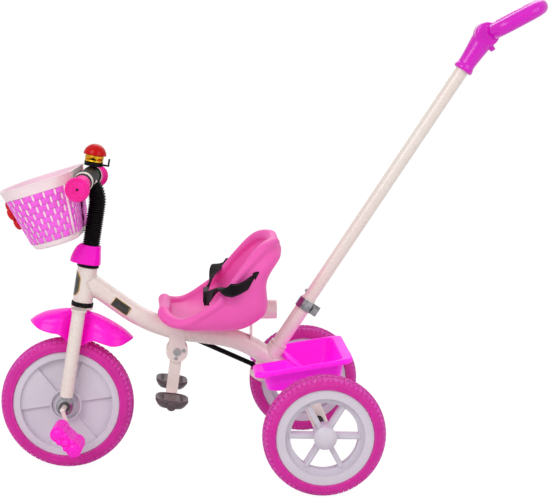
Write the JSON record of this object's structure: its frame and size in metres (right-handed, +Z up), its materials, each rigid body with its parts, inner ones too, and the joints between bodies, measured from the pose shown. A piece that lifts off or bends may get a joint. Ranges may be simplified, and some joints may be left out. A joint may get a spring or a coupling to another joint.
{
  "type": "toddler push along trike",
  "caption": "Toddler push-along trike with a steering parent push bar, bucket seat with lap belt, front basket, bell, folding footrest and rear toy bin.",
  "frame": {"origin": "on the ground, under the middle of the bounding box", "axes": "+X to the rear along the trike's length, +Y to the rider's right across its width, +Z up"},
  "size_m": [1.035, 0.4722, 0.8874],
  "materials": {
    "frame_paint": "satin cream enamel",
    "zinc": "zinc plated",
    "chrome_plate": "plated",
    "tyre_foam": "matte foam",
    "rim_plastic": "moulded",
    "seat_plastic": "moulded",
    "bin_plastic": "moulded",
    "guard_plastic": "moulded",
    "grip_rubber": "soft",
    "black_plastic": "moulded",
    "bellows_rubber": "ribbed",
    "bell_paint": "gloss red",
    "bell_brass": "polished",
    "basket_plastic": "woven look",
    "strap_plastic": "moulded",
    "flower_plastic": "moulded",
    "handle_plastic": "moulded",
    "webbing": "woven",
    "pad_rubber": "ribbed",
    "cap_red": "moulded",
    "plate_gold": "plain plate"
  },
  "bodies": {
    "frame": {"head_tube": "frame_paint", "headset_cups": "black_plastic", "main_tube": "frame_paint", "push_socket": "frame_paint", "rear_hoop": "frame_paint", "rear_axle": "zinc", "axle_spacers": "black_plastic", "seat_rail": "frame_paint", "seat_bolts": "zinc", "seat": "seat_plastic", "belt_left": "webbing", "belt_right": "webbing", "buckle": "black_plastic", "rear_bin": "bin_plastic", "bin_bolts": "cap_red", "footrest_bracket": "frame_paint", "footrest_bolts": "zinc", "label_plates": "plate_gold"},
    "fork": {"fork_crown": "frame_paint", "fork_legs": "frame_paint", "dropouts": "chrome_plate", "fork_bushes": "black_plastic", "steerer_stem": "frame_paint", "bellows": "bellows_rubber", "fairing": "seat_plastic", "handlebar": "black_plastic", "bar_sleeve": "black_plastic", "grips": "grip_rubber", "bell_base": "black_plastic", "bell_ring": "bell_brass", "bell_dome": "bell_paint", "front_basket": "basket_plastic", "strap_rings": "strap_plastic", "basket_flower": "flower_plastic", "mudguard": "guard_plastic", "steering_pin": "zinc"},
    "front_wheel": {"front_tyre": "tyre_foam", "front_rim": "rim_plastic", "crank_axle": "frame_paint", "pedal_caps": "zinc"},
    "pedal_left": {"pedal_left": "guard_plastic"},
    "pedal_right": {"pedal_right": "guard_plastic"},
    "rear_wheel_left": {"rear_tyre_left": "tyre_foam", "rear_rim_left": "rim_plastic", "rear_bush_left": "black_plastic", "hub_cap_left": "rim_plastic"},
    "rear_wheel_right": {"rear_tyre_right": "tyre_foam", "rear_rim_right": "rim_plastic", "rear_bush_right": "black_plastic", "hub_cap_right": "rim_plastic"},
    "push_driver": {"push_driver": "frame_paint", "clamp_band": "chrome_plate", "clamp_bolt": "zinc"},
    "push_bar": {"push_tube": "frame_paint", "push_handle": "handle_plastic"},
    "snap_button": {"snap_button": "chrome_plate"},
    "link_rod": {"link_rod": "black_plastic"},
    "footrest": {"footrest_leg": "frame_paint", "footrest_pads": "pad_rubber"},
    "bell_lever": {"bell_lever": "black_plastic"}
  },
  "joints": [
    {"name": "steer", "type": "hinge", "parent": "frame", "child": "fork", "pos_m": [-0.39006, 0, 0.127], "axis": [0.165, 0, 0.9863], "range_deg": [-30.5, 39.5]},
    {"name": "push_steer", "type": "hinge", "parent": "frame", "child": "push_driver", "pos_m": [-0.02879, 0, 0.16725], "axis": [0.5534, 0, 0.8329], "range_deg": [-31, 40]},
    {"name": "link_swing", "type": "hinge", "parent": "fork", "child": "link_rod", "pos_m": [-0.35337, 0.0339, 0.33013], "axis": [0.1685, 0.0367, 0.985], "range_deg": [-40.5, 31.5]},
    {"name": "push_bar_lift", "type": "slide", "parent": "push_driver", "child": "push_bar", "axis": [0.5534, 0, 0.8329], "range_m": [0, 0.06]},
    {"name": "snap_button_press", "type": "slide", "parent": "push_bar", "child": "snap_button", "axis": [0.8304, -0.0785, -0.5517], "range_m": [0, 0.003], "stiffness_N_per_m": 600},
    {"name": "front_wheel_spin", "type": "hinge", "parent": "fork", "child": "front_wheel", "pos_m": [-0.39006, 0, 0.127], "axis": [0.0774, 0.9969, -0.0129], "continuous": true},
    {"name": "pedal_left_spin", "type": "hinge", "parent": "front_wheel", "child": "pedal_left", "pos_m": [-0.38391, -0.09974, 0.08441], "axis": [0.0774, 0.9969, -0.0129], "continuous": true},
    {"name": "pedal_right_spin", "type": "hinge", "parent": "front_wheel", "child": "pedal_right", "pos_m": [-0.39622, 0.09974, 0.16959], "axis": [0.0774, 0.9969, -0.0129], "continuous": true},
    {"name": "rear_wheel_left_spin", "type": "hinge", "parent": "frame", "child": "rear_wheel_left", "pos_m": [0.08194, -0.205, 0.112], "axis": [0, 1, 0], "continuous": true},
    {"name": "rear_wheel_right_spin", "type": "hinge", "parent": "frame", "child": "rear_wheel_right", "pos_m": [0.08194, 0.205, 0.112], "axis": [0, 1, 0], "continuous": true},
    {"name": "footrest_fold", "type": "hinge", "parent": "frame", "child": "footrest", "pos_m": [-0.18006, 0, 0.225], "axis": [0, -1, 0], "range_deg": [0, 55]},
    {"name": "bell_lever_press", "type": "hinge", "parent": "fork", "child": "bell_lever", "pos_m": [-0.3266, 0.05409, 0.57754], "axis": [0.165, 0, 0.9863], "range_deg": [0, 25], "stiffness_Nm_per_rad": 0.05}
  ],
  "couplings": [
    {"joint": "push_steer", "follows": "steer", "ratio": 0.96554},
    {"joint": "link_swing", "follows": "steer", "ratio": -1.0003}
  ]
}
